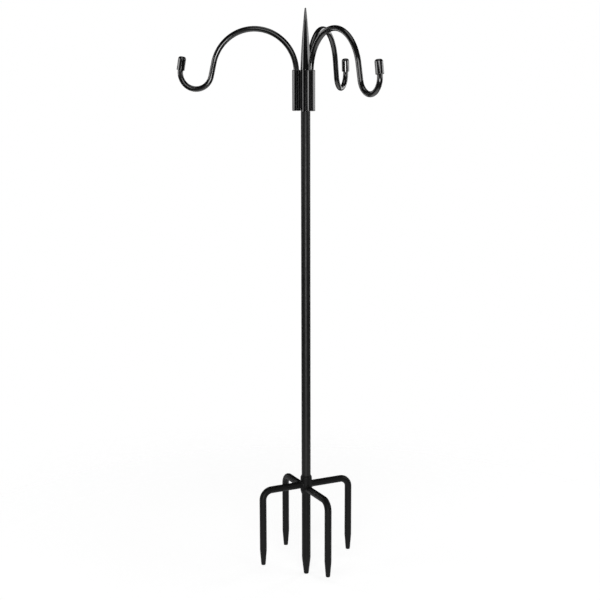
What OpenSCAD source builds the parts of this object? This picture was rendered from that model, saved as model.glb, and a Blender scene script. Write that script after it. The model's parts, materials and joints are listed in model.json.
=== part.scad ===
// Hanging plant stand. A slim pole screws into a ground stake with one centre
// spike and four outer prongs. At its top a hub of three welded sleeves holds
// three swivelling crook arms, under a pointed finial.
//
// Millimetres, +Z up. The origin is on the pole's axis at the ground line,
// where the centre spike leaves the collar. The view of the photograph looks
// along +Y, with +X to the right.

/* [Pole] */
// Outer diameter of the pole
pole_d = 19; // [16:0.5:22]
// Wall of the pole and hub tubes
tube_wall = 1.2; // [1:0.1:1.8]
// Length of one of the two pole sections
section_len = 391; // [250:1:600]
// Chamfer on the rims of the tubes
rim_chamfer = 0.3; // [0.2:0.1:0.5]

/* [Threaded joints] */
// Diameter of the studs that join the sections
stud_d = 10; // [8:0.5:11]
// How far a stud stands out of the section below
stud_len = 16; // [10:1:24]
// Length of a stud's plug, and how deep the base stud sits in the spike
plug_len = 15; // [8:1:20]
// Chamfer on the end of a stud
stud_chamfer = 1; // [0.5:0.1:1.5]
// How much longer a nut is than its stud
nut_spare = 4; // [2:0.5:8]

/* [Hub] */
// Length of the sleeves
sleeve_len = 80; // [60:1:110]
// Wall of a sleeve round the arm
sleeve_wall = 2.9; // [2:0.1:4]
// Floor that an arm stands on
sleeve_floor = 6; // [3:0.5:10]
// Diameter of the drain hole in the floor
drain_d = 4; // [2:0.5:6]
// Chamfer on the outer rims of a sleeve
sleeve_chamfer = 1; // [0.5:0.1:1.4]
// Chamfer inside a sleeve's mouth
mouth_chamfer = 1; // [0.5:0.1:1.2]
// How far the hub tube reaches below the sleeves
hub_drop = 1.5; // [1:0.5:10]
// Direction of the left sleeve from the pole's axis, in degrees
left_sleeve_angle = 186; // [150:1:210]
// Radius of a weld bead between a sleeve and the hub tube
bead_r = 1.5; // [1.3:0.1:2.2]
// Distance of a bead's centre from the line that joins the two axes
bead_offset = 3.6; // [3.3:0.1:4.8]
// Length of sleeve left bare under a bead
bead_bottom_gap = 5; // [2:0.5:15]
// Length of sleeve left bare above a bead
bead_top_gap = 1.5; // [1:0.5:15]

/* [Finial] */
// Height of the finial above the hub
finial_len = 120; // [80:1:180]
// Diameter of the finial at its base
finial_base_d = 20; // [17:0.5:22]
// Diameter of the finial at its tip
finial_tip_d = 3; // [2:0.2:5]
// How far the side bows out of a straight cone
finial_bow = 1.2; // [0.4:0.1:2]
// Length of the spigot that is pressed into the hub tube
spigot_len = 15; // [8:1:25]

/* [Arms] */
// Diameter of the arm rod
rod_d = 11; // [8:0.1:12]
// Centre-line radius of the large arch
arch_r = 84.5; // [60:0.5:110]
// Lean of the leg between arch and hook, in degrees from upright
leg_lean = 12.5; // [5:0.1:20]
// Straight length of that leg on the left arm, which is the shortest
left_leg_len = 27.5; // [10:0.5:60]
// Straight length of that leg on the front arm
front_leg_len = 30.5; // [10:0.5:60]
// Straight length of that leg on the back arm
back_leg_len = 32.5; // [10:0.5:60]
// Centre-line radius of the hook
hook_r = 32; // [24:0.5:45]
// Turn of the left and front hooks, in degrees
hook_turn = 177; // [150:0.5:180]
// Turn of the back hook, which is bent a little less, in degrees
back_hook_turn = 172.5; // [150:0.5:180]
// How far below the top of the sleeve the arch starts
arch_sink = 4.5; // [2:0.5:5]
// Swivel of the left arm from its outward direction, in degrees
left_swing = -15.2; // [-55:0.1:55]
// Swivel of the front arm from its outward direction, in degrees
front_swing = -4.2; // [-55:0.1:55]
// Swivel of the back arm from its outward direction, in degrees
back_swing = 4.5; // [-55:0.1:55]
// Chamfer on the ends of a rod
rod_chamfer = 1; // [0.5:0.1:2]

/* [Caps] */
// Outer diameter of a rubber cap
cap_d = 16; // [14:0.1:18]
// Length of a cap
cap_len = 27.5; // [20:0.5:40]
// Thickness of a cap's closed end
cap_end = 4; // [2:0.5:6]
// Radius of a cap's rounded end
cap_round = 5; // [3:0.5:6]

/* [Collar] */
// Wall of the collar round the pole
collar_wall = 2.4; // [2:0.1:4]
// Height of the collar above the centre line of the upper prongs
collar_above = 20; // [14:0.5:35]
// Height of the lower prongs' centre line above the collar's foot
collar_below = 11; // [8:0.1:16]
// Height of the collar's bevelled top
collar_top_bevel = 3.7; // [2:0.1:6]
// Height of the collar's tapered bottom
collar_bottom_taper = 7; // [3:0.5:8]
// Width of the flat rim left by the bevels
collar_rim = 0.5; // [0.3:0.1:1]

/* [Ground stake] */
// Diameter of the centre spike
spike_d = 18.5; // [16:0.5:20]
// Depth of the centre spike below the ground line
spike_depth = 179; // [140:1:260]
// Length of the spike's taper
spike_taper = 36; // [20:1:60]
// Diameter of the spike's blunt tip
spike_tip_d = 10; // [7:0.5:13]
// Length of the spike inside the collar
spike_seat = 14; // [10:0.5:18]
// Radial step of the shoulder that the collar sits on
spike_shoulder = 1; // [0.5:0.1:2]
// Chamfer on the blunt tips of spike and prongs
point_chamfer = 1; // [0.5:0.1:2]
// Diameter of a prong
prong_d = 14.4; // [12:0.1:16]
// Radius of the circle on which the prongs go down
prong_reach = 100; // [70:1:130]
// Centre-line radius of a prong's bend
prong_bend_r = 19.5; // [15:0.5:30]
// Length of a prong from its level rod's centre line to its tip
prong_len = 161; // [120:1:200]
// Length of a prong's taper
prong_taper = 33; // [20:1:50]
// Diameter of a prong's blunt tip
prong_tip_d = 9; // [6:0.5:11]
// How much higher the left and right prongs are welded than the others
prong_step = 8.5; // [0:0.1:12]
// Direction of the right prong, in degrees
right_prong_angle = 26.5; // [0:0.5:89]
// Leg of the weld round a prong's root
root_weld = 2.6; // [1.5:0.1:4]

/* [Fits] */
// Radial clearance of an arm in its sleeve
swivel_gap = 0.08; // [0.02:0.01:0.1]
// Height of an arm above the floor of its sleeve
arm_rest_gap = 0.3; // [0.3:0.1:1]
// Radial clearance of parts pressed or welded into each other
press_gap = 0.05; // [0.02:0.01:0.1]
// Radial clearance of a stud in its nut
thread_gap = 0.1; // [0.05:0.01:0.2]
// Radial clearance of the pole in the collar
slip_gap = 0.1; // [0.05:0.01:0.3]
// Space between a sleeve and the hub tube, filled by the weld
weld_gap = 0.2; // [0.1:0.1:0.5]

/* [Hidden] */
$fn = 64;
SLEEVE_STEP = 120;
PRONG_STEP = 90;
FINIAL_BANDS = 20;
eps = 0.01;
// A bend is a hair thicker than the straights, whose ends lap into it
bend_swell = 0.02;
bend_lap = 0.05;

// Tubes and threaded joints
tube_bore_d = pole_d - 2 * tube_wall;
plug_d = tube_bore_d - 2 * press_gap;
nut_len = stud_len + nut_spare;

// Stake
low_prong_z = collar_below;
high_prong_z = low_prong_z + prong_step;
collar_top_z = high_prong_z + collar_above;
collar_bore_d = pole_d + 2 * slip_gap;
collar_d = collar_bore_d + 2 * collar_wall;
collar_rim_d = collar_bore_d + 2 * collar_rim;
spike_seat_d = spike_d - 2 * spike_shoulder;

// Pole
lower_pole_z = spike_seat;
upper_pole_z = lower_pole_z + section_len;
hub_z = upper_pole_z + section_len;

// Hub
sleeve_z = hub_z + hub_drop;
sleeve_top_z = sleeve_z + sleeve_len;
sleeve_bore_d = rod_d + 2 * swivel_gap;
sleeve_d = sleeve_bore_d + 2 * sleeve_wall;
sleeve_ring_r = pole_d / 2 + weld_gap + sleeve_d / 2;
front_sleeve_angle = left_sleeve_angle + SLEEVE_STEP;
back_sleeve_angle = left_sleeve_angle + 2 * SLEEVE_STEP;

// Arms, measured from the sleeve's axis and the arch's spring line
spring_z = sleeve_top_z - arch_sink;
shank_len = spring_z - (sleeve_z + sleeve_floor + arm_rest_gap);
leg_top = [arch_r + arch_r * cos(leg_lean), arch_r * sin(leg_lean)];
left_shape = [left_leg_len, hook_turn];
front_shape = [front_leg_len, hook_turn];
back_shape = [back_leg_len, back_hook_turn];
tip_len = cap_len - cap_end - press_gap;

GLOSS_BLACK = [0.05, 0.05, 0.055];
SATIN_BLACK = [0.09, 0.09, 0.09];
MATT_BLACK = [0.07, 0.07, 0.07];
RUBBER_BLACK = [0.03, 0.03, 0.03];
STEEL = [0.6, 0.6, 0.62];

// ---- Shared shapes ----

// A rod that stands on z = 0, with a chamfered top.
module chamfered_rod(d, len, chamfer) {
    cylinder(d = d, h = len - chamfer);
    translate([0, 0, len - chamfer - eps])
        cylinder(d1 = d, d2 = d - 2 * chamfer, h = chamfer + eps);
}

// A tube that stands on z = 0, with chamfered rims.
module chamfered_tube(d, bore, len, chamfer) {
    rotate_extrude()
        polygon([
            [bore / 2, 0],
            [d / 2 - chamfer, 0],
            [d / 2, chamfer],
            [d / 2, len - chamfer],
            [d / 2 - chamfer, len],
            [bore / 2, len]
        ]);
}

// A round rod bent in the XZ plane about the origin, from one angle by a turn.
module bent_rod(d, bend_r, start, turn) {
    rotate([90, 0, 0])
        rotate([0, 0, start])
            rotate_extrude(angle = turn)
                translate([bend_r, 0])
                    circle(d = d);
}

// A blunt point that hangs below z = 0, with a chamfered end.
module blunt_point(d, tip_d, len) {
    translate([0, 0, -len + point_chamfer])
        cylinder(d1 = tip_d, d2 = d, h = len - point_chamfer);
    translate([0, 0, -len])
        cylinder(d1 = tip_d - 2 * point_chamfer, d2 = tip_d, h = point_chamfer);
}

// A welded plug with a stud on top. The plug's top face is z = 0.
module plug_stud() {
    translate([0, 0, -plug_len])
        cylinder(d = plug_d, h = plug_len);
    translate([0, 0, -eps])
        chamfered_rod(stud_d, stud_len + eps, stud_chamfer);
}

// A welded nut with its open face at z = 0.
module insert_nut() {
    rotate_extrude()
        polygon([
            [stud_d / 2 + thread_gap, 0],
            [plug_d / 2, 0],
            [plug_d / 2, nut_len],
            [stud_d / 2 + thread_gap, nut_len]
        ]);
}

// Puts its children on the axis of one sleeve, with X pointing outward.
module at_sleeve(angle) {
    rotate([0, 0, angle])
        translate([sleeve_ring_r, 0, 0])
            children();
}

// Centre of the hook's bend. A shape is an arm's leg length and its hook's turn.
function hook_centre(shape) =
    leg_top
    + shape[0] * [sin(leg_lean), -cos(leg_lean)]
    + hook_r * [cos(leg_lean), sin(leg_lean)];

// Lean of an arm's straight tip towards its leg.
function tip_angle(shape) = leg_lean + shape[1] - 180;

// Stands its children on the end of the hook's bend, with Z along the tip.
module at_tip(shape) {
    foot = hook_centre(shape) + hook_r * [cos(tip_angle(shape)), sin(tip_angle(shape))];
    translate([foot.x, 0, foot.y])
        rotate([0, -tip_angle(shape), 0])
            children();
}

// ---- Hub ----

// Radius of the finial at a share of its height, on a shallow bow.
function finial_r(t) =
    finial_base_d / 2 * (1 - t) + finial_tip_d / 2 * t + finial_bow * 4 * t * (1 - t);

module finial() {
    color(GLOSS_BLACK)
        translate([0, 0, sleeve_top_z]) {
            rotate_extrude()
                polygon([
                    [0, 0],
                    for (i = [0:FINIAL_BANDS])
                        let (t = i / FINIAL_BANDS)
                            [finial_r(t), finial_len * t],
                    [0, finial_len]
                ]);
            translate([0, 0, -spigot_len])
                cylinder(d = plug_d, h = spigot_len + eps);
        }
}

module hub_tube() {
    color(GLOSS_BLACK)
        translate([0, 0, hub_z])
            chamfered_tube(pole_d, tube_bore_d, hub_drop + sleeve_len, rim_chamfer);
}

module sleeve(angle) {
    color(GLOSS_BLACK)
        at_sleeve(angle)
            translate([0, 0, sleeve_z])
                difference() {
                    chamfered_tube(sleeve_d, drain_d, sleeve_len, sleeve_chamfer);
                    translate([0, 0, sleeve_floor])
                        cylinder(d = sleeve_bore_d, h = sleeve_len);
                    translate([0, 0, sleeve_len - mouth_chamfer])
                        cylinder(
                            d1 = sleeve_bore_d,
                            d2 = sleeve_bore_d + 2 * mouth_chamfer + 2 * eps,
                            h = mouth_chamfer + eps
                        );
                }
}

// Middle of the valley between hub tube and sleeve, at the beads' offset.
function valley_x() =
    (sqrt(pow(pole_d / 2, 2) - pow(bead_offset, 2))
        + sleeve_ring_r - sqrt(pow(sleeve_d / 2, 2) - pow(bead_offset, 2))) / 2;

// Two beads along each sleeve, one on either side, cut by the tubes they join.
module hub_welds() {
    bead_len = sleeve_len - bead_bottom_gap - bead_top_gap;
    color(GLOSS_BLACK)
        for (i = [0:2], side = [-1, 1])
            rotate([0, 0, left_sleeve_angle + i * SLEEVE_STEP])
                translate([0, 0, sleeve_z + bead_bottom_gap])
                    difference() {
                        translate([valley_x(), side * bead_offset, 0])
                            cylinder(r = bead_r, h = bead_len);
                        translate([0, 0, -eps])
                            cylinder(d = pole_d, h = bead_len + 2 * eps);
                        translate([sleeve_ring_r, 0, -eps])
                            cylinder(d = sleeve_d, h = bead_len + 2 * eps);
                    }
}

// ---- Arms ----

// The bent rod, in the XZ plane, with the arch's spring line at z = 0.
module crook(shape) {
    translate([0, 0, -shank_len])
        cylinder(d1 = rod_d - 2 * rod_chamfer, d2 = rod_d, h = rod_chamfer);
    translate([0, 0, rod_chamfer - shank_len])
        cylinder(d = rod_d, h = shank_len - rod_chamfer + bend_lap);
    translate([arch_r, 0, 0])
        bent_rod(rod_d + bend_swell, arch_r, leg_lean, 180 - leg_lean);
    translate([leg_top.x, 0, leg_top.y])
        rotate([0, 180 - leg_lean, 0])
            translate([0, 0, -bend_lap])
                cylinder(d = rod_d, h = shape[0] + 2 * bend_lap);
    translate([hook_centre(shape).x, 0, hook_centre(shape).y])
        bent_rod(rod_d + bend_swell, hook_r, 180 + leg_lean, shape[1]);
    at_tip(shape)
        translate([0, 0, -bend_lap])
            chamfered_rod(rod_d, tip_len + bend_lap, rod_chamfer);
}

// Puts its children in an arm's plane, with its arch's spring line at z = 0.
module at_arm(angle, swing) {
    at_sleeve(angle)
        translate([0, 0, spring_z])
            rotate([0, 0, swing])
                children();
}

module hook_arm(angle, swing, shape) {
    color(SATIN_BLACK)
        at_arm(angle, swing)
            crook(shape);
}

// A cap with a rounded end, open at z = 0.
module rubber_cap() {
    difference() {
        rotate_extrude()
            union() {
                square([cap_d / 2, cap_len - cap_round]);
                square([cap_d / 2 - cap_round, cap_len]);
                translate([cap_d / 2 - cap_round, cap_len - cap_round])
                    intersection() {
                        circle(r = cap_round);
                        square(cap_round);
                    }
            }
        translate([0, 0, -eps])
            cylinder(d = rod_d + 2 * press_gap, h = cap_len - cap_end + eps);
    }
}

module hook_cap(angle, swing, shape) {
    color(RUBBER_BLACK)
        at_arm(angle, swing)
            at_tip(shape)
                rubber_cap();
}

// ---- Pole ----

module pole_section(z) {
    color(SATIN_BLACK)
        translate([0, 0, z])
            chamfered_tube(pole_d, tube_bore_d, section_len, rim_chamfer);
}

module joint_stud(z) {
    color(STEEL)
        translate([0, 0, z])
            plug_stud();
}

module joint_nut(z) {
    color(STEEL)
        translate([0, 0, z])
            insert_nut();
}

module base_stud() {
    color(STEEL)
        translate([0, 0, spike_seat - plug_len])
            chamfered_rod(stud_d, plug_len + stud_len, stud_chamfer);
}

// ---- Ground stake ----

// The collar's outside, as a solid without its bore.
module collar_outside() {
    rotate_extrude()
        polygon([
            [0, 0],
            [collar_rim_d / 2, 0],
            [collar_d / 2, collar_bottom_taper],
            [collar_d / 2, collar_top_z - collar_top_bevel],
            [collar_rim_d / 2, collar_top_z],
            [0, collar_top_z]
        ]);
}

module base_collar() {
    color(MATT_BLACK)
        difference() {
            collar_outside();
            translate([0, 0, -eps])
                cylinder(d = spike_seat_d + 2 * press_gap, h = collar_top_z);
            translate([0, 0, spike_seat])
                cylinder(d = collar_bore_d, h = collar_top_z);
        }
}

module centre_spike() {
    color(MATT_BLACK)
        difference() {
            union() {
                cylinder(d = spike_seat_d, h = spike_seat);
                translate([0, 0, spike_taper - spike_depth])
                    cylinder(d = spike_d, h = spike_depth - spike_taper);
                translate([0, 0, spike_taper - spike_depth])
                    blunt_point(spike_d, spike_tip_d, spike_taper);
            }
            translate([0, 0, spike_seat - plug_len])
                cylinder(d = stud_d + 2 * thread_gap, h = plug_len + eps);
        }
}

// One L-shaped prong in the XZ plane, its level rod on z = 0 from the axis out.
module prong_rod() {
    bend_x = prong_reach - prong_bend_r;
    rotate([0, 90, 0])
        cylinder(d = prong_d, h = bend_x);
    translate([bend_x, 0, -prong_bend_r])
        bent_rod(prong_d, prong_bend_r, 0, 90);
    translate([prong_reach, 0, prong_taper - prong_len])
        cylinder(d = prong_d, h = prong_len - prong_taper - prong_bend_r);
    translate([prong_reach, 0, prong_taper - prong_len])
        blunt_point(prong_d, prong_tip_d, prong_taper);
}

// Turns a piece to one prong's direction. Even steps are the higher pair.
module at_prong(step) {
    rotate([0, 0, right_prong_angle + step * PRONG_STEP])
        translate([0, 0, step % 2 == 0 ? high_prong_z : low_prong_z])
            children();
}

module prong(step) {
    color(MATT_BLACK)
        difference() {
            at_prong(step)
                prong_rod();
            translate([0, 0, -prong_d])
                cylinder(d = collar_d, h = collar_top_z + 2 * prong_d);
        }
}

// The weld round each prong's root, filling the corner under the collar's taper.
module base_welds() {
    color(MATT_BLACK)
        for (step = [0:3])
            difference() {
                at_prong(step)
                    rotate([0, 90, 0])
                        translate([0, 0, collar_d / 2 - root_weld])
                            cylinder(
                                r1 = prong_d / 2 + root_weld,
                                r2 = prong_d / 2,
                                h = 2 * root_weld
                            );
                collar_outside();
                for (other = [0:3])
                    at_prong(other)
                        rotate([0, 90, 0])
                            cylinder(d = prong_d, h = prong_reach / 2);
            }
}

// ---- The stand ----

finial();
hub_tube();
sleeve(left_sleeve_angle);  // sleeve_left
sleeve(front_sleeve_angle);  // sleeve_front
sleeve(back_sleeve_angle);  // sleeve_back
hub_welds();
hook_arm(left_sleeve_angle, left_swing, left_shape);  // hook_arm_left
hook_arm(front_sleeve_angle, front_swing, front_shape);  // hook_arm_front
hook_arm(back_sleeve_angle, back_swing, back_shape);  // hook_arm_back
hook_cap(left_sleeve_angle, left_swing, left_shape);  // hook_cap_left
hook_cap(front_sleeve_angle, front_swing, front_shape);  // hook_cap_front
hook_cap(back_sleeve_angle, back_swing, back_shape);  // hook_cap_back
joint_nut(hub_z);  // hub_nut
pole_section(upper_pole_z);  // upper_pole
joint_stud(hub_z);  // upper_pole_stud
joint_nut(upper_pole_z);  // upper_pole_nut
pole_section(lower_pole_z);  // lower_pole
joint_stud(upper_pole_z);  // lower_pole_stud
joint_nut(lower_pole_z);  // lower_pole_nut
base_stud();
base_collar();
centre_spike();
prong(2);  // prong_left
prong(3);  // prong_front
prong(0);  // prong_right
prong(1);  // prong_back
base_welds();
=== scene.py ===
"""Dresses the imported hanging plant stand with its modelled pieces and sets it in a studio."""

import json
import math

import bmesh
import bpy
from bpy.props import FloatProperty, FloatVectorProperty, PointerProperty
from bpy.types import Operator, Panel, PropertyGroup
from mathutils import Matrix, Vector


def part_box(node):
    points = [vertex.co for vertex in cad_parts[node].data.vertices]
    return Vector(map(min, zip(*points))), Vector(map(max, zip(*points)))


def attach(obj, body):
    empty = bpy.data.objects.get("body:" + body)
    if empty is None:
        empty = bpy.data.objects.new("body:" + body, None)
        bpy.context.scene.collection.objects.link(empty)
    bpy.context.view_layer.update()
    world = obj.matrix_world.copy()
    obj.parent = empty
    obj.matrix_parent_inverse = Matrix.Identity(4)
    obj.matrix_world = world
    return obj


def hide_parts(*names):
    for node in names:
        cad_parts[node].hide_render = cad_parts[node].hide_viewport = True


bl_info = {
    "name": "Hanging plant stand",
    "version": (1, 0, 0),
    "blender": (4, 5, 0),
    "location": "View3D > Sidebar > Plant stand",
    "description": "Builds the pole, hub, crook arms and ground stake of a hanging plant stand",
    "category": "Object",
}

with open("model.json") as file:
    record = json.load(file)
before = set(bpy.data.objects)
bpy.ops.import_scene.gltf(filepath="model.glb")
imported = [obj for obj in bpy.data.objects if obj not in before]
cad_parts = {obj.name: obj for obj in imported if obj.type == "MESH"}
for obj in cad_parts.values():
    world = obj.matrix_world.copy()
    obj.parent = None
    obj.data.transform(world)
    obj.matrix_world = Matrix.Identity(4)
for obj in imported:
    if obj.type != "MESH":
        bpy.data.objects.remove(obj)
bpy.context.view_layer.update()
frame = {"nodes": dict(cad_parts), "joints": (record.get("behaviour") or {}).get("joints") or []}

SIDES = ("left", "front", "back")
# Each prong with its quarter turns from the right one. The even ones are the higher pair.
PRONGS = (("right", 0), ("back", 1), ("left", 2), ("front", 3))
MERGE_GAP = 1e-7
SHARP_ANGLE = math.radians(38)

# How finely the shapes are divided
TURNED_SIDES = 96
ROD_SIDES = 64
BEAD_SIDES = 20
STAGE_SIDES = 96
FINIAL_BANDS = 36
ARCH_STEPS = 96
HOOK_STEPS = 72
PRONG_STEPS = 32
STEPS_PER_RIPPLE = 6
RIM_SEGMENTS = 5
END_SEGMENTS = 4
# How far round the collar's skin a root bead is laid, as a share of its radius
SKIN_REACH = 0.98


def radius_of(node):
    """Half the width of a CAD node that stands upright on the pole's axis."""
    low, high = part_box(node)
    return (high.x - low.x) / 2


def axis_of(side):
    """Point on the swivel axis of one arm."""
    found = [j for j in frame["joints"] if j["child"] == "arm_" + side]
    return Vector(found[0]["pos_m"])


def length(name, description, default):
    """A size property in metres."""
    return FloatProperty(
        name=name, description=description, default=default, min=0, precision=5, unit="LENGTH"
    )


def turn(name, description, degrees):
    """An angle property."""
    return FloatProperty(
        name=name, description=description, default=math.radians(degrees), unit="ROTATION"
    )


def colour(name, description, default):
    """A colour property."""
    return FloatVectorProperty(
        name=name, description=description, default=default, min=0, max=1, size=3, subtype="COLOR"
    )


def share(name, description, default):
    """A property from 0 to 1."""
    return FloatProperty(
        name=name, description=description, default=default, min=0, max=1, subtype="FACTOR"
    )


def power(name, description, watts):
    """The power of a lamp."""
    return FloatProperty(name=name, description=description, default=watts, min=0, unit="POWER")


# ---- Sizes, colours and studio settings ----


class TubeSizes(PropertyGroup):
    """Sizes of the pole tubes, the hub and the finial"""

    pole_radius: length("Pole radius", "Outer radius of the pole", radius_of("upper_pole"))
    wall: length("Tube wall", "Wall of the pole and hub tubes", 0.0012)
    rim_round: length("Rim rounding", "How far back a tube's rims are rounded", 0.0003)
    sleeve_radius: length("Sleeve radius", "Outer radius of a sleeve", radius_of("sleeve_left"))
    bore_radius: length("Sleeve bore", "Radius of the bore that an arm turns in", 0.00558)
    sleeve_floor: length("Sleeve floor", "Thickness of the floor under an arm", 0.006)
    drain_radius: length("Drain hole", "Radius of the hole in a sleeve's floor", 0.002)
    sleeve_round: length("Sleeve rounding", "How far back a sleeve's rims are rounded", 0.0009)
    finial_radius: length("Finial radius", "Radius of the finial at its base", 0.01)
    finial_tip: length("Finial tip", "Radius of the finial at its tip", 0.0015)
    finial_bow: length("Finial bow", "How far its side bows out of a straight cone", 0.0012)
    finial_round: length("Finial rounding", "How far back the finial's base is rounded", 0.0005)
    point_round: length("Point rounding", "How far back the finial's tip is rounded", 0.0012)


class ArmSizes(PropertyGroup):
    """Sizes of the crook arms and their caps"""

    rod_radius: length("Rod radius", "Radius of the arm's rod", 0.0055)
    arch_radius: length("Arch radius", "Centre-line radius of the large arch", 0.0845)
    arch_sink: length("Arch start", "How far below a sleeve's top the arch starts", 0.0045)
    leg_lean: turn("Leg lean", "Lean of the leg between arch and hook", 12.5)
    leg_left: length("Left leg", "Straight length of the left arm's leg", 0.0275)
    leg_front: length("Front leg", "Straight length of the front arm's leg", 0.0305)
    leg_back: length("Back leg", "Straight length of the back arm's leg", 0.0325)
    hook_radius: length("Hook radius", "Centre-line radius of the hook", 0.032)
    hook_left: turn("Left hook", "How far the left hook turns up again", 177)
    hook_front: turn("Front hook", "How far the front hook turns up again", 177)
    hook_back: turn("Back hook", "How far the back hook turns up again", 172.5)
    sleeve_left: turn("Left sleeve", "Direction of the left sleeve from the pole", 186)
    sleeve_front: turn("Front sleeve", "Direction of the front sleeve from the pole", 306)
    sleeve_back: turn("Back sleeve", "Direction of the back sleeve from the pole", 66)
    swing_left: turn("Left swing", "Swivel of the left arm from its outward direction", -15.2)
    swing_front: turn("Front swing", "Swivel of the front arm from its outward direction", -4.2)
    swing_back: turn("Back swing", "Swivel of the back arm from its outward direction", 4.5)
    rod_round: length("Rod rounding", "How far back a rod's ends are rounded", 0.001)
    cap_radius: length("Cap radius", "Outer radius of a rubber cap", 0.008)
    cap_length: length("Cap length", "Length of a cap", 0.0275)
    cap_end: length("Cap end", "Thickness of a cap's closed end", 0.004)
    cap_round: length("Cap rounding", "How far back the closed end is rounded", 0.005)
    cap_mouth: length("Cap mouth", "How far back the rim of its mouth is rounded", 0.0006)


class StakeSizes(PropertyGroup):
    """Sizes of the collar, the spike and the prongs"""

    collar_rim: length("Collar rim", "Outer radius of the flat rims of the collar", 0.0101)
    collar_bevel: length("Collar bevel", "Height of the collar's bevelled top", 0.0037)
    collar_taper: length("Collar taper", "Height of the collar's tapered foot", 0.007)
    collar_round: length("Collar rounding", "How far back the collar's edges are rounded", 0.0009)
    collar_slip: length("Collar slip", "Space between the pole and the collar", 0.00012)
    spike_seat: length("Spike seat", "Length of the spike inside the collar", 0.014)
    spike_shoulder: length("Spike shoulder", "Step that the collar sits on", 0.001)
    spike_taper: length("Spike taper", "Length of the spike's taper", 0.036)
    spike_round: length("Spike rounding", "How far back the taper's start is rounded", 0.0039)
    spike_tip: length("Spike tip", "Radius of the spike's blunt tip", 0.005)
    prong_radius: length("Prong radius", "Radius of a prong", 0.0072)
    prong_reach: length("Prong reach", "Radius of the circle on which the prongs go down", 0.1)
    prong_bend: length("Prong bend", "Centre-line radius of a prong's bend", 0.0195)
    prong_length: length("Prong length", "Length from the level rod to the tip", 0.161)
    prong_taper: length("Prong taper", "Length of a prong's taper", 0.033)
    prong_tip: length("Prong tip", "Radius of a prong's blunt tip", 0.0045)
    prong_low: length("Lower prongs", "Height of the lower pair of prongs", 0.011)
    prong_high: length("Higher prongs", "Height of the higher pair of prongs", 0.0195)
    prong_angle: turn("Right prong", "Direction of the right prong", 26.5)
    prong_gap: length("Prong gap", "Space between the pole and a prong's hidden end", 0.00006)
    tip_round: length("Tip rounding", "How far back the blunt tips are rounded", 0.0013)


class WeldSizes(PropertyGroup):
    """Sizes of the weld beads"""

    bead_radius: length("Bead radius", "Radius of a bead between sleeve and hub", 0.00145)
    bead_offset: length("Bead offset", "Distance of a bead from the line of the axes", 0.0036)
    bottom_gap: length("Bare foot", "Length of sleeve left bare under a bead", 0.005)
    top_gap: length("Bare top", "Length of sleeve left bare above a bead", 0.0015)
    ripple_pitch: length("Ripple pitch", "Distance between the ripples of a bead", 0.0028)
    ripple_depth: share("Ripple depth", "Depth of a ripple as a share of the bead", 0.05)
    ripple_sag: share("Ripple sag", "Slope of a ripple across the bead", 0.25)
    bead_end: share("Bead end", "Rounding of a bead's ends as a share of its radius", 0.35)
    root_bead: length("Root bead", "Section radius of the weld round a prong's root", 0.0021)
    root_sink: length("Root bead sink", "How far the root bead lies inside the prong", 0.0006)


class Finishes(PropertyGroup):
    """Colours and roughness of the finishes"""

    hub: colour("Hub coat", "Gloss black coat of hub and finial", (0.004, 0.004, 0.0042))
    arm: colour("Arm coat", "Semi-gloss black coat of the arms", (0.004, 0.004, 0.004))
    pole: colour("Pole coat", "Satin black coat of the pole", (0.008, 0.008, 0.008))
    stake: colour("Stake coat", "Matt black coat of the stake", (0.005, 0.005, 0.005))
    cap: colour("Cap rubber", "Black rubber of the caps", (0.005, 0.005, 0.005))
    steel: colour("Steel", "Zinc plated studs and nuts", (0.62, 0.62, 0.64))
    hub_roughness: share("Hub roughness", "Roughness of the gloss coat", 0.25)
    weld_roughness: share("Weld roughness", "Roughness of the coat pooled on the welds", 0.5)
    arm_roughness: share("Arm roughness", "Roughness of the arms' coat", 0.36)
    pole_roughness: share("Pole roughness", "Roughness of the pole's coat", 0.4)
    stake_roughness: share("Stake roughness", "Roughness of the stake's coat", 0.48)
    cap_roughness: share("Cap roughness", "Roughness of the caps", 0.22)
    steel_roughness: share("Steel roughness", "Roughness of the plated steel", 0.34)


class Studio(PropertyGroup):
    """Camera, floor, lamps and curtain"""

    camera_place: FloatVectorProperty(
        name="Camera place", description="Where the camera stands", size=3,
        default=(0, -2.6569, 0.9291), subtype="TRANSLATION", unit="LENGTH",
    )
    camera_pitch: turn("Camera pitch", "How far the camera looks down", 10.98)
    camera_yaw: turn("Camera yaw", "How far the camera is turned left", 0.2585)
    camera_roll: turn("Camera roll", "How far the camera leans", -0.14)
    lens: FloatProperty(
        name="Lens", description="Focal length on a 36 mm sensor", default=79.389, min=1,
        unit="CAMERA",
    )
    floor_radius: length("Floor radius", "Where the floor has faded into the background", 1.2)
    floor_fade: length("Floor fade", "Where the floor starts to fade", 0.5)
    floor_shade: share("Floor shade", "Share of the floor's colour that shadows can darken", 0.6)
    floor_glow: share("Floor glow", "Part of the floor's white that no shadow darkens", 0.76)
    ambient: share("Ambient", "Strength of the light from all around", 0.35)
    key_power: power("Key softbox", "Power of the high front softbox", 19)
    front_power: power("Front panel", "Power of the low front panel", 30)
    left_power: power("Left softbox", "Power of the left softbox", 11)
    right_power: power("Right softbox", "Power of the right softbox", 18)
    back_power: power("Back strips", "Power of each strip behind the stand", 8)
    curtain_radius: length("Curtain radius", "Radius of the dark curtain round the set", 3.6)
    curtain_drop: length("Curtain drop", "How far it hangs below the ground line", 0.95)
    curtain_height: length("Curtain height", "Height of its upright wall", 3.55)
    canopy_height: length("Canopy height", "Height of the cone over the wall", 0.85)
    canopy_opening: length("Canopy opening", "Radius of the opening on top", 1.0)
    curtain_shade: share("Curtain shade", "Grey of the curtain", 0.03)


# ---- Finishes ----


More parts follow.
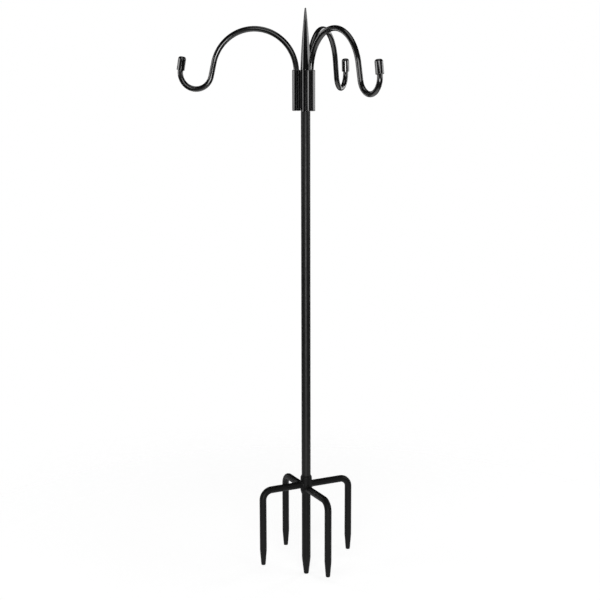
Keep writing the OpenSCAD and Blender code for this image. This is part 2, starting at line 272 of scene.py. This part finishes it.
def node_of(tree, kind, **values):
    """A new node. Values that aren't settings of the node go into its sockets."""
    made = tree.nodes.new(kind)
    for key, value in values.items():
        if hasattr(made, key):
            setattr(made, key, value)
        else:
            made.inputs[key.replace("_", " ").title()].default_value = value
    return made


# Scale and detail of the noise behind a finish's tone, roughness, orange peel and grain
CLOUD_NOISE = (38.0, 3.0)
PATCH_NOISE = (140.0, 4.0)
PEEL_NOISE = (420.0, 1.0)
GRAIN_NOISE = (2200.0, 2.0)
# The noise levels of the darkest and the lightest tone, each with its share of the colour
TONE_STOPS = ((0.35, 0.85), (0.7, 1.2))
# The noise levels of the smoothest and the roughest patch, and how far those stray
PATCH_LEVELS = (0.3, 0.7)
PATCH_SPREAD = 0.05
ROUGH_PATCH_SPREAD = 0.08

# Each finish: the Finishes entry of its colour and of its roughness, the depth in
# metres of its peel and of its grain, how far its roughness strays, other sockets
FINISHES = {
    "gloss_black_coat": (
        "hub", "hub_roughness", 2.5e-6, 0.0, PATCH_SPREAD,
        {"Specular IOR Level": 0.06, "Coat Weight": 1.0, "Coat Roughness": 0.08,
         "Coat IOR": 1.75},
    ),
    "pooled_weld_coat": (
        "hub", "weld_roughness", 1e-5, 2e-6, PATCH_SPREAD, {"Specular IOR Level": 0.3},
    ),
    "satin_arm_coat": (
        "arm", "arm_roughness", 4e-6, 1e-6, PATCH_SPREAD,
        {"Specular IOR Level": 0.2, "Coat Weight": 1.0, "Coat Roughness": 0.12,
         "Coat IOR": 1.58},
    ),
    "satin_pole_coat": (
        "pole", "pole_roughness", 1e-5, 4e-6, PATCH_SPREAD, {"Specular IOR Level": 0.3},
    ),
    "matt_stake_coat": (
        "stake", "stake_roughness", 2.5e-5, 1.2e-5, ROUGH_PATCH_SPREAD,
        {"Specular IOR Level": 0.15},
    ),
    "glossy_cap_rubber": (
        "cap", "cap_roughness", 3e-6, 0.0, PATCH_SPREAD,
        {"Specular IOR Level": 0.2, "Coat Weight": 1.0, "Coat Roughness": 0.06,
         "Coat IOR": 1.75},
    ),
    "zinc_steel": ("steel", "steel_roughness", 1e-5, 4e-6, PATCH_SPREAD, {"Metallic": 1.0}),
}


def coat(name, base, roughness, peel, grain, spread, sockets):
    """A finish with clouds in its tone, patches in its roughness, and a fine relief."""
    finish = bpy.data.materials.new(name)
    finish.use_nodes = True
    tree = finish.node_tree
    shader = tree.nodes["Principled BSDF"]
    place = tree.nodes.new("ShaderNodeTexCoord").outputs["Object"]

    def noise(scale, detail):
        made = node_of(tree, "ShaderNodeTexNoise", scale=scale, detail=detail)
        tree.links.new(place, made.inputs["Vector"])
        return made.outputs["Fac"]

    tones = node_of(tree, "ShaderNodeValToRGB")
    for element, (position, tone) in zip(tones.color_ramp.elements, TONE_STOPS):
        element.position = position
        element.color = (*[c * tone for c in base], 1)
    tree.links.new(noise(*CLOUD_NOISE), tones.inputs["Fac"])
    tree.links.new(tones.outputs["Color"], shader.inputs["Base Color"])

    patches = node_of(tree, "ShaderNodeMapRange")
    patches.inputs["From Min"].default_value = PATCH_LEVELS[0]
    patches.inputs["From Max"].default_value = PATCH_LEVELS[1]
    patches.inputs["To Min"].default_value = roughness - spread
    patches.inputs["To Max"].default_value = roughness + spread
    tree.links.new(noise(*PATCH_NOISE), patches.inputs["Value"])
    tree.links.new(patches.outputs["Result"], shader.inputs["Roughness"])

    slow = node_of(tree, "ShaderNodeBump", strength=1.0, distance=peel)
    tree.links.new(noise(*PEEL_NOISE), slow.inputs["Height"])
    fine = node_of(tree, "ShaderNodeBump", strength=1.0, distance=grain)
    tree.links.new(noise(*GRAIN_NOISE), fine.inputs["Height"])
    tree.links.new(slow.outputs["Normal"], fine.inputs["Normal"])
    tree.links.new(fine.outputs["Normal"], shader.inputs["Normal"])
    for socket, value in sockets.items():
        shader.inputs[socket].default_value = value
    return finish


def finish_named(context, name):
    """The finish of one name, made when it is first asked for."""
    made = bpy.data.materials.get(name)
    if made:
        return made
    looks = context.scene.stand_finishes
    base, roughness, *rest = FINISHES[name]
    return coat(name, getattr(looks, base), getattr(looks, roughness), *rest)


# ---- Shapes ----


def turned(profile, closed=False):
    """A shape turned on the Z axis from (radius, height, rounding) points."""
    bm = bmesh.new()
    points = [bm.verts.new((radius, 0, height)) for radius, height, _ in profile]
    for pair in zip(points, points[1:]):
        bm.edges.new(pair)
    if closed:
        bm.edges.new((points[-1], points[0]))
    for point, (_, _, back) in zip(points, profile):
        if back:
            bmesh.ops.bevel(bm, geom=[point], offset=back, offset_type="OFFSET",
                            segments=RIM_SEGMENTS, profile=0.5, affect="VERTICES",
                            material=-1)
    bmesh.ops.spin(bm, geom=bm.verts[:] + bm.edges[:], cent=(0, 0, 0), axis=(0, 0, 1),
                   angle=math.tau, steps=TURNED_SIDES, use_merge=True)
    bmesh.ops.remove_doubles(bm, verts=bm.verts, dist=MERGE_GAP)
    return bm


class Rod:
    """A round rod drawn and bent in the XZ plane. It starts at the origin and goes up."""

    def __init__(self, radius, end_round, sides=ROD_SIDES):
        self.bm = bmesh.new()
        self.place, self.way = Vector((0, 0, 0)), Vector((0, 0, 1))
        self.radius, self.end_round = radius, end_round
        bmesh.ops.create_circle(self.bm, cap_ends=True, radius=radius, segments=sides)
        self.ring = self.bm.edges[:]
        self.first = list(self.ring)

    def straight(self, distance, radius=None):
        """Draws the rod on, and tapers it where a radius is given."""
        new = bmesh.ops.extrude_edge_only(self.bm, edges=self.ring)["geom"]
        ends = [g for g in new if isinstance(g, bmesh.types.BMVert)]
        bmesh.ops.translate(self.bm, verts=ends, vec=self.way * distance)
        self.place = self.place + self.way * distance
        if radius:
            bmesh.ops.scale(self.bm, verts=ends, vec=Vector((1, 1, 1)) * (radius / self.radius),
                            space=Matrix.Translation(-self.place))
            self.radius = radius
        held = set(ends)
        self.ring = [g for g in new if isinstance(g, bmesh.types.BMEdge)
                     and g.verts[0] in held and g.verts[1] in held]

    def bend(self, bend_radius, angle, steps):
        """Bends the rod about the Y axis. A positive angle turns it from +Z towards +X."""
        across = Vector((self.way.z, 0, -self.way.x)) * math.copysign(1, angle)
        centre = self.place + across * bend_radius
        ends = {v for edge in self.ring for v in edge.verts}
        last = bmesh.ops.spin(self.bm, geom=list(ends) + self.ring, cent=centre, axis=(0, 1, 0),
                              angle=angle, steps=steps)["geom_last"]
        self.ring = [g for g in last if isinstance(g, bmesh.types.BMEdge)]
        spun = Matrix.Rotation(angle, 3, "Y")
        self.place = centre + spun @ (self.place - centre)
        self.way = spun @ self.way

    def closed(self):
        """The finished rod, with its last end closed and both ends rounded."""
        bmesh.ops.contextual_create(self.bm, geom=self.ring)
        bmesh.ops.bevel(self.bm, geom=self.first + self.ring, offset=self.end_round,
                        offset_type="OFFSET", segments=END_SEGMENTS, profile=0.5,
                        affect="EDGES", material=-1)
        return self.bm


def add_piece(context, name, bm, finish, nodes, body="stand", place=None):
    """Makes an object of a shape, which rides on a body and stands for CAD nodes."""
    if place is not None:
        bmesh.ops.transform(bm, matrix=place, verts=bm.verts)
    bmesh.ops.remove_doubles(bm, verts=bm.verts, dist=MERGE_GAP)
    bmesh.ops.recalc_face_normals(bm, faces=bm.faces)
    for face in bm.faces:
        face.smooth = True
    mesh = bpy.data.meshes.new(name)
    bm.to_mesh(mesh)
    bm.free()
    mesh.set_sharp_from_angle(angle=SHARP_ANGLE)
    mesh.materials.append(finish_named(context, finish))
    piece = bpy.data.objects.new(name, mesh)
    context.scene.collection.objects.link(piece)
    even = piece.modifiers.new("Even shading", "WEIGHTED_NORMAL")
    even.keep_sharp = True
    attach(piece, body)
    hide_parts(*nodes)


def join_into(bm, other):
    """Adds a second shape to a first."""
    spare = bpy.data.meshes.new("spare")
    other.to_mesh(spare)
    other.free()
    bm.from_mesh(spare)
    bpy.data.meshes.remove(spare)


def sleeve_place(arms, side, swung=False):
    """Matrix that stands a shape on the axis of one sleeve, with +X outward."""
    outward = getattr(arms, "sleeve_" + side)
    if swung:
        outward += getattr(arms, "swing_" + side)
    axis = axis_of(side)
    return Matrix.Translation((axis.x, axis.y, 0)) @ Matrix.Rotation(outward, 4, "Z")


# ---- Pieces ----


class PieceOperator:
    """What the operators that build pieces share."""

    bl_options = {"REGISTER"}


class STAND_OT_finial(PieceOperator, Operator):
    """Turn the pointed finial with its bowed sides and rounded tip"""

    bl_idname = "stand.finial"
    bl_label = "Finial"

    def execute(self, context):
        tubes = context.scene.stand_tubes
        low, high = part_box("finial")
        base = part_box("hub_tube")[1].z
        spigot = tubes.pole_radius - tubes.wall
        side = []
        for band in range(FINIAL_BANDS + 1):
            t = band / FINIAL_BANDS
            radius = tubes.finial_radius * (1 - t) + tubes.finial_tip * t
            # 4 t (1 - t) is an arc that is 1 high halfway up
            radius += 4 * tubes.finial_bow * t * (1 - t)
            side.append((radius, base + (high.z - base) * t, 0))
        side[0] = (*side[0][:2], tubes.finial_round)
        side[-1] = (*side[-1][:2], tubes.point_round)
        profile = [(0, low.z, 0), (spigot, low.z, 0), (spigot, base, 0)] + side
        add_piece(context, "finial_spear", turned(profile + [(0, high.z, 0)]),
                  "gloss_black_coat", ["finial"])
        return {"FINISHED"}


def tube(context, name, node, finish):
    """A tube with rounded rims that stands for an upright CAD tube."""
    tubes = context.scene.stand_tubes
    low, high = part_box(node)
    bore = tubes.pole_radius - tubes.wall
    profile = [
        (bore, low.z, 0),
        (tubes.pole_radius, low.z, tubes.rim_round),
        (tubes.pole_radius, high.z, tubes.rim_round),
        (bore, high.z, 0),
    ]
    add_piece(context, name, turned(profile, closed=True), finish, [node])


class STAND_OT_hub_tube(PieceOperator, Operator):
    """Turn the short tube that the three sleeves are welded to"""

    bl_idname = "stand.hub_tube"
    bl_label = "Hub tube"

    def execute(self, context):
        tube(context, "hub_core_tube", "hub_tube", "gloss_black_coat")
        return {"FINISHED"}


class STAND_OT_pole(PieceOperator, Operator):
    """Turn the two pole sections"""

    bl_idname = "stand.pole"
    bl_label = "Pole sections"

    def execute(self, context):
        for node in ("upper_pole", "lower_pole"):
            tube(context, node + "_tube", node, "satin_pole_coat")
        return {"FINISHED"}


class STAND_OT_sleeves(PieceOperator, Operator):
    """Turn the three sleeves with their rounded rims, floors and drain holes"""

    bl_idname = "stand.sleeves"
    bl_label = "Sleeves"

    def execute(self, context):
        tubes, arms = context.scene.stand_tubes, context.scene.stand_arms
        for side in SIDES:
            low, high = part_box("sleeve_" + side)
            floor = low.z + tubes.sleeve_floor
            profile = [
                (tubes.drain_radius, low.z, tubes.rim_round),
                (tubes.sleeve_radius, low.z, tubes.sleeve_round),
                (tubes.sleeve_radius, high.z, tubes.sleeve_round),
                (tubes.bore_radius, high.z, tubes.sleeve_round),
                (tubes.bore_radius, floor, 0),
                (tubes.drain_radius, floor, 0),
            ]
            add_piece(context, "sleeve_shell_" + side, turned(profile, closed=True),
                      "gloss_black_coat", ["sleeve_" + side],
                      place=sleeve_place(arms, side))
        return {"FINISHED"}


def ripple(welds, phase):
    """How far a bead draws in at one phase of its ripples."""
    return 1 - welds.ripple_depth * (0.5 - 0.5 * math.cos(phase))


class STAND_OT_hub_beads(PieceOperator, Operator):
    """Lay the six rippled weld beads along the sleeves"""

    bl_idname = "stand.hub_beads"
    bl_label = "Hub weld beads"

    def execute(self, context):
        tubes, arms, welds = (context.scene.stand_tubes, context.scene.stand_arms,
                              context.scene.stand_welds)
        low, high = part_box("sleeve_left")
        foot = low.z + welds.bottom_gap
        run = high.z - welds.top_gap - foot
        ripples = round(run / welds.ripple_pitch)
        steps = ripples * STEPS_PER_RIPPLE
        beads = bmesh.new()
        for side in SIDES:
            axis = axis_of(side)
            ring = math.hypot(axis.x, axis.y)
            valley = (math.sqrt(tubes.pole_radius**2 - welds.bead_offset**2) + ring
                      - math.sqrt(tubes.sleeve_radius**2 - welds.bead_offset**2)) / 2
            outward = Matrix.Rotation(getattr(arms, "sleeve_" + side), 4, "Z")
            for hand in (-1, 1):
                bead = Rod(welds.bead_radius, welds.bead_radius * welds.bead_end, BEAD_SIDES)
                for _ in range(steps):
                    bead.straight(run / steps)
                bm = bead.closed()
                for vert in bm.verts:
                    # each ripple slopes across the bead
                    along = vert.co.z + welds.ripple_sag * vert.co.y * hand
                    shrink = ripple(welds, math.tau * along / run * ripples)
                    vert.co.x *= shrink
                    vert.co.y *= shrink
                bmesh.ops.transform(bm, verts=bm.verts, matrix=outward @ Matrix.Translation(
                    (valley, hand * welds.bead_offset, foot)))
                join_into(beads, bm)
        add_piece(context, "hub_weld_beads", beads, "pooled_weld_coat",
                  ["hub_welds"])
        return {"FINISHED"}


def bend_crook(rod, arms, side, arch_steps=ARCH_STEPS, hook_steps=HOOK_STEPS):
    """Draws the arch, the leg and the hook of one arm onto a rod."""
    rod.bend(arms.arch_radius, math.pi - arms.leg_lean, arch_steps)
    rod.straight(getattr(arms, "leg_" + side))
    rod.bend(arms.hook_radius, -getattr(arms, "hook_" + side), hook_steps)


class STAND_OT_arms(PieceOperator, Operator):
    """Bend the three crook arms from round rod"""

    bl_idname = "stand.arms"
    bl_label = "Crook arms"

    def execute(self, context):
        arms = context.scene.stand_arms
        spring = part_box("sleeve_left")[1].z - arms.arch_sink
        for side in SIDES:
            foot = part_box("hook_arm_" + side)[0].z
            rod = Rod(arms.rod_radius, arms.rod_round)
            rod.straight(spring - foot)
            bend_crook(rod, arms, side)
            rod.straight(arms.cap_length - arms.cap_end)
            place = sleeve_place(arms, side, swung=True) @ Matrix.Translation((0, 0, foot))
            add_piece(context, "crook_" + side, rod.closed(), "satin_arm_coat",
                      ["hook_arm_" + side], "arm_" + side, place)
        return {"FINISHED"}


class STAND_OT_caps(PieceOperator, Operator):
    """Turn the rubber caps on the hooks' ends"""

    bl_idname = "stand.caps"
    bl_label = "Hook caps"

    def execute(self, context):
        arms = context.scene.stand_arms
        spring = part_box("sleeve_left")[1].z - arms.arch_sink
        bore, inside = arms.rod_radius, arms.cap_length - arms.cap_end
        profile = [
            (bore, 0, 0),
            (arms.cap_radius, 0, arms.cap_mouth),
            (arms.cap_radius, arms.cap_length, arms.cap_round),
            (0, arms.cap_length, 0),
            (0, inside, 0),
            (bore, inside, 0),
        ]
        for side in SIDES:
            # a bare rod, followed only to find the hook's end
            path = Rod(arms.rod_radius, arms.rod_round, sides=3)
            bend_crook(path, arms, side, arch_steps=1, hook_steps=1)
            tip, lean = path.place, math.atan2(path.way.x, path.way.z)
            path.bm.free()
            place = (sleeve_place(arms, side, swung=True)
                     @ Matrix.Translation((tip.x, 0, spring + tip.z))
                     @ Matrix.Rotation(lean, 4, "Y"))
            add_piece(context, "end_cap_" + side, turned(profile, closed=True),
                      "glossy_cap_rubber", ["hook_cap_" + side],
                      "arm_" + side, place)
        return {"FINISHED"}


class STAND_OT_collar(PieceOperator, Operator):
    """Turn the collar that joins pole, spike and prongs"""

    bl_idname = "stand.collar"
    bl_label = "Collar"

    def execute(self, context):
        tubes, stake = context.scene.stand_tubes, context.scene.stand_stake
        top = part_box("base_collar")[1].z
        full = radius_of("base_collar")
        seat = radius_of("centre_spike") - stake.spike_shoulder
        bore = tubes.pole_radius + stake.collar_slip
        profile = [
            (seat, 0, 0),
            (stake.collar_rim, 0, tubes.rim_round),
            (full, stake.collar_taper, stake.collar_round),
            (full, top - stake.collar_bevel, stake.collar_round),
            (stake.collar_rim, top, tubes.rim_round),
            (bore, top, 0),
            (bore, stake.spike_seat, 0),
            (seat, stake.spike_seat, 0),
        ]
        add_piece(context, "stake_collar", turned(profile, closed=True), "matt_stake_coat",
                  ["base_collar"])
        return {"FINISHED"}


class STAND_OT_spike(PieceOperator, Operator):
    """Turn the centre spike with its long taper and blunt tip"""

    bl_idname = "stand.spike"
    bl_label = "Centre spike"

    def execute(self, context):
        stake = context.scene.stand_stake
        low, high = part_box("centre_spike")
        full = radius_of("centre_spike")
        seat = full - stake.spike_shoulder
        profile = [
            (0, low.z, 0),
            (stake.spike_tip, low.z, stake.tip_round),
            (full, low.z + stake.spike_taper, stake.spike_round),
            (full, 0, 0),
            (seat, 0, 0),
            (seat, high.z, 0),
            (0, high.z, 0),
        ]
        add_piece(context, "spike_shaft", turned(profile), "matt_stake_coat",
                  ["centre_spike"])
        return {"FINISHED"}


def prong_place(stake, step):
    """Matrix that turns a shape to one prong and lifts it to its level."""
    height = stake.prong_low if step % 2 else stake.prong_high
    outward = stake.prong_angle + step * math.pi / 2
    return Matrix.Translation((0, 0, height)) @ Matrix.Rotation(outward, 4, "Z")


class STAND_OT_prongs(PieceOperator, Operator):
    """Bend the four outer prongs and taper their tips"""

    bl_idname = "stand.prongs"
    bl_label = "Prongs"

    def execute(self, context):
        tubes, stake = context.scene.stand_tubes, context.scene.stand_stake
        start = tubes.pole_radius + stake.prong_gap
        for name, step in PRONGS:
            rod = Rod(stake.prong_radius, stake.tip_round)
            rod.straight(stake.prong_reach - stake.prong_bend - start)
            rod.bend(stake.prong_bend, math.pi / 2, PRONG_STEPS)
            rod.straight(stake.prong_length - stake.prong_bend - stake.prong_taper)
            rod.straight(stake.prong_taper, stake.prong_tip)
            laid = Matrix.Translation((start, 0, 0)) @ Matrix.Rotation(math.pi / 2, 4, "Y")
            add_piece(context, "prong_rod_" + name, rod.closed(), "matt_stake_coat",
                      ["prong_" + name], place=prong_place(stake, step) @ laid)
        return {"FINISHED"}


class STAND_OT_root_beads(PieceOperator, Operator):
    """Lay a rippled weld bead round each prong's root, down into the collar's curve"""

    bl_idname = "stand.root_beads"
    bl_label = "Root weld beads"

    def execute(self, context):
        stake, welds = context.scene.stand_stake, context.scene.stand_welds
        ring = stake.prong_radius - welds.root_sink
        full = radius_of("base_collar")
        ripples = round(math.tau * ring / welds.ripple_pitch)
        beads = bmesh.new()
        for _, step in PRONGS:
            level = prong_place(stake, step).translation.z
            bm = bmesh.new()
            bmesh.ops.create_circle(bm, radius=welds.root_bead, segments=BEAD_SIDES,
                                    matrix=Matrix.Rotation(math.pi / 2, 4, "X"))
            bmesh.ops.translate(bm, verts=bm.verts, vec=(0, 0, ring))
            bmesh.ops.spin(bm, geom=bm.verts[:] + bm.edges[:], cent=(0, 0, 0), axis=(1, 0, 0),
                           angle=math.tau, steps=ripples * STEPS_PER_RIPPLE, use_merge=True)
            for vert in bm.verts:
                around = math.atan2(vert.co.y, vert.co.z)
                middle = Vector((0, math.sin(around), math.cos(around))) * ring
                shrink = ripple(welds, around * ripples + vert.co.x / welds.root_bead)
                vert.co = middle + (vert.co - middle) * shrink
                # out to the collar's skin, which tapers in below
                up = min(1, max(0, (level + vert.co.z) / stake.collar_taper))
                skin = stake.collar_rim + (full - stake.collar_rim) * up
                beside = min(abs(vert.co.y), skin * SKIN_REACH)
                vert.co.x += math.sqrt(skin**2 - beside**2)
            bmesh.ops.transform(bm, verts=bm.verts, matrix=prong_place(stake, step))
            join_into(beads, bm)
        add_piece(context, "root_weld_beads", beads, "matt_stake_coat",
                  ["base_welds"])
        return {"FINISHED"}


STEEL_NODES = (
    "hub_nut", "upper_pole_stud", "upper_pole_nut", "lower_pole_stud", "lower_pole_nut",
    "base_stud",
)


class STAND_OT_steel(PieceOperator, Operator):
    """Give the studs and nuts inside the pole their plated steel"""

    bl_idname = "stand.steel"
    bl_label = "Studs and nuts"

    def execute(self, context):
        plated = finish_named(context, "zinc_steel")
        for node in STEEL_NODES:
            slots = frame["nodes"][node].material_slots
            if not slots:
                raise RuntimeError(f"CAD node {node} has no material slot")
            for each in slots:
                each.material = plated
        return {"FINISHED"}


# ---- Studio ----

# Each lamp: its name, its place, what it points at, its width and height, its power
LAMPS = (
    ("key_softbox", (0, -2.6, 1.9), (0, 0, 0.9), (2.4, 0.7), "key_power"),
    ("front_panel", (0, -2.6, 0.2), (0, 0, 0.3), (1.0, 0.65), "front_power"),
    ("left_softbox", (-2.24, -0.5, 1.02), (0, 0, 0.95), (1.5, 0.72), "left_power"),
    ("right_softbox", (2.25, -0.1, 1.02), (0, 0, 0.95), (2.8, 0.72), "right_power"),
    ("back_left_strip", (-1.7, 1.5, 0.6), (0, 0, 0.5), (0.5, 2.2), "back_power"),
    ("back_right_strip", (1.5, 1.7, 0.6), (0, 0, 0.5), (0.5, 2.2), "back_power"),
)
# Millimetres, the unit of Blender's lenses and sensors
SENSOR_WIDTH = 36
# Share of the floor's radius at which it has faded
FADE_END = 0.98


def lamp(context, name, place, aim, size, watts):
    """A flat rectangular lamp that points at a place."""
    light = bpy.data.lights.new(name, "AREA")
    light.shape = "RECTANGLE"
    light.size, light.size_y = size
    light.energy = watts
    made = bpy.data.objects.new(name, light)
    made.location = place
    made.rotation_euler = (Vector(aim) - Vector(place)).to_track_quat("-Z", "Y").to_euler()
    made.visible_camera = False
    context.scene.collection.objects.link(made)


def background_rays(tree):
    """1 for the rays that see the background: camera, mirror-like and see-through ones."""
    path = tree.nodes.new("ShaderNodeLightPath")
    total = path.outputs["Is Camera Ray"]
    for ray in ("Is Glossy Ray", "Is Transmission Ray"):
        step = node_of(tree, "ShaderNodeMath", operation="ADD", use_clamp=True)
        tree.links.new(total, step.inputs[0])
        tree.links.new(path.outputs[ray], step.inputs[1])
        total = step.outputs[0]
    return total


def stage_object(context, name, bm):
    """Makes an object of the studio's set, which is no part of the stand."""
    mesh = bpy.data.meshes.new(name)
    bm.to_mesh(mesh)
    bm.free()
    made = bpy.data.objects.new(name, mesh)
    context.scene.collection.objects.link(made)
    return made


class STAND_OT_studio(Operator):
    """Set up the camera, the floor, the white background, the lamps and the curtain"""

    bl_idname = "stand.studio"
    bl_label = "Studio"

    def execute(self, context):
        studio = context.scene.stand_studio
        self.camera(context, studio)
        self.world(context, studio)
        self.floor(context, studio)
        self.curtain(context, studio)
        for *settings, strength in LAMPS:
            lamp(context, *settings, getattr(studio, strength))
        context.scene.view_settings.view_transform = "Standard"
        return {"FINISHED"}

    def camera(self, context, studio):
        """The camera at the photograph's viewing angle."""
        camera = bpy.data.objects.new("camera", bpy.data.cameras.new("camera"))
        camera.data.lens = studio.lens
        camera.data.sensor_width = SENSOR_WIDTH
        camera.matrix_world = (
            Matrix.Translation(studio.camera_place)
            @ Matrix.Rotation(studio.camera_yaw, 4, "Z")
            @ Matrix.Rotation(math.pi / 2 - studio.camera_pitch, 4, "X")
            @ Matrix.Rotation(studio.camera_roll, 4, "Z")
        )
        context.scene.collection.objects.link(camera)
        context.scene.camera = camera

    def world(self, context, studio):
        """White for the rays that see the background, dimmer as light."""
        world = bpy.data.worlds.new("white_studio")
        world.use_nodes = True
        context.scene.world = world
        tree = world.node_tree
        level = node_of(tree, "ShaderNodeMapRange")
        level.inputs["To Min"].default_value = studio.ambient
        level.inputs["To Max"].default_value = 1
        tree.links.new(background_rays(tree), level.inputs["Value"])
        back = tree.nodes["Background"]
        back.inputs["Color"].default_value = (1, 1, 1, 1)
        tree.links.new(level.outputs["Result"], back.inputs["Strength"])

    def floor(self, context, studio):
        """A pale floor that takes the shadow and fades into the background.

        Part of its white is a glow that only the background's rays see, so that it looks
        white without lighting the stand from below.
        """
        bm = bmesh.new()
        bmesh.ops.create_circle(bm, cap_ends=True, radius=studio.floor_radius,
                                segments=STAGE_SIDES)
        ground = stage_object(context, "floor", bm)
        ground.location.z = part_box("centre_spike")[0].z
        finish = bpy.data.materials.new("pale_floor")
        finish.use_nodes = True
        ground.data.materials.append(finish)
        tree = finish.node_tree
        tree.nodes.clear()
        out = tree.nodes.new("ShaderNodeOutputMaterial")
        shade = tree.nodes.new("ShaderNodeBsdfDiffuse")
        shade.inputs["Color"].default_value = (*[studio.floor_shade] * 3, 1)
        glow = tree.nodes.new("ShaderNodeEmission")
        level = node_of(tree, "ShaderNodeMath", operation="MULTIPLY")
        tree.links.new(background_rays(tree), level.inputs[0])
        level.inputs[1].default_value = studio.floor_glow
        tree.links.new(level.outputs[0], glow.inputs["Strength"])
        both = tree.nodes.new("ShaderNodeAddShader")
        tree.links.new(shade.outputs[0], both.inputs[0])
        tree.links.new(glow.outputs[0], both.inputs[1])
        clear = tree.nodes.new("ShaderNodeBsdfTransparent")
        place = tree.nodes.new("ShaderNodeTexCoord")
        far = node_of(tree, "ShaderNodeVectorMath", operation="LENGTH")
        tree.links.new(place.outputs["Object"], far.inputs[0])
        fade = node_of(tree, "ShaderNodeMapRange", interpolation_type="SMOOTHSTEP")
        fade.inputs["From Min"].default_value = studio.floor_fade
        fade.inputs["From Max"].default_value = studio.floor_radius * FADE_END
        tree.links.new(far.outputs["Value"], fade.inputs["Value"])
        mix = tree.nodes.new("ShaderNodeMixShader")
        tree.links.new(fade.outputs["Result"], mix.inputs["Fac"])
        tree.links.new(both.outputs[0], mix.inputs[1])
        tree.links.new(clear.outputs[0], mix.inputs[2])
        tree.links.new(mix.outputs[0], out.inputs["Surface"])

    def curtain(self, context, studio):
        """A dark tent round the set, open on top, which the camera doesn't see.

        It keeps the black coats black between the lamps that they mirror.
        """
        foot = -studio.curtain_drop
        eaves = foot + studio.curtain_height
        bm = bmesh.new()
        bmesh.ops.create_cone(
            bm, cap_ends=False, segments=STAGE_SIDES, radius1=studio.curtain_radius,
            radius2=studio.curtain_radius, depth=studio.curtain_height,
            matrix=Matrix.Translation((0, 0, foot + studio.curtain_height / 2)),
        )
        bmesh.ops.create_cone(
            bm, cap_ends=False, segments=STAGE_SIDES, radius1=studio.curtain_radius,
            radius2=studio.canopy_opening, depth=studio.canopy_height,
            matrix=Matrix.Translation((0, 0, eaves + studio.canopy_height / 2)),
        )
        bmesh.ops.create_circle(
            bm, cap_ends=True, segments=STAGE_SIDES, radius=studio.curtain_radius,
            matrix=Matrix.Translation((0, 0, foot)),
        )
        tent = stage_object(context, "curtain", bm)
        tent.visible_camera = False
        finish = bpy.data.materials.new("dark_curtain")
        finish.use_nodes = True
        shader = finish.node_tree.nodes["Principled BSDF"]
        shader.inputs["Base Color"].default_value = (*[studio.curtain_shade] * 3, 1)
        shader.inputs["Roughness"].default_value = 1
        shader.inputs["Specular IOR Level"].default_value = 0
        tent.data.materials.append(finish)


BUILD_STEPS = (
    STAND_OT_studio, STAND_OT_finial, STAND_OT_hub_tube, STAND_OT_sleeves, STAND_OT_hub_beads,
    STAND_OT_arms, STAND_OT_caps, STAND_OT_pole, STAND_OT_collar, STAND_OT_spike,
    STAND_OT_prongs, STAND_OT_root_beads, STAND_OT_steel,
)
SETTINGS = {
    "stand_tubes": TubeSizes,
    "stand_arms": ArmSizes,
    "stand_stake": StakeSizes,
    "stand_welds": WeldSizes,
    "stand_finishes": Finishes,
    "stand_studio": Studio,
}


class STAND_PT_pieces(Panel):
    """Lists the pieces of the stand"""

    bl_label = "Plant stand"
    bl_idname = "STAND_PT_pieces"
    bl_space_type = "VIEW_3D"
    bl_region_type = "UI"
    bl_category = "Plant stand"

    def draw(self, context):
        for step in BUILD_STEPS:
            self.layout.operator(step.bl_idname)
        for settings in SETTINGS:
            box = self.layout.box()
            box.label(text=settings.replace("stand_", "").capitalize())
            for name in SETTINGS[settings].__annotations__:
                box.prop(getattr(context.scene, settings), name)


def register():
    for settings in SETTINGS.values():
        bpy.utils.register_class(settings)
    for name, settings in SETTINGS.items():
        setattr(bpy.types.Scene, name, PointerProperty(type=settings))
    for step in BUILD_STEPS:
        bpy.utils.register_class(step)
    bpy.utils.register_class(STAND_PT_pieces)


def unregister():
    bpy.utils.unregister_class(STAND_PT_pieces)
    for step in reversed(BUILD_STEPS):
        bpy.utils.unregister_class(step)
    for name, settings in reversed(SETTINGS.items()):
        delattr(bpy.types.Scene, name)
        bpy.utils.unregister_class(settings)


def main():
    """Registers the add-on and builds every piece."""
    register()
    for step in BUILD_STEPS:
        group, name = step.bl_idname.split(".")
        getattr(getattr(bpy.ops, group), name)()


if __name__ == "__main__":
    main()
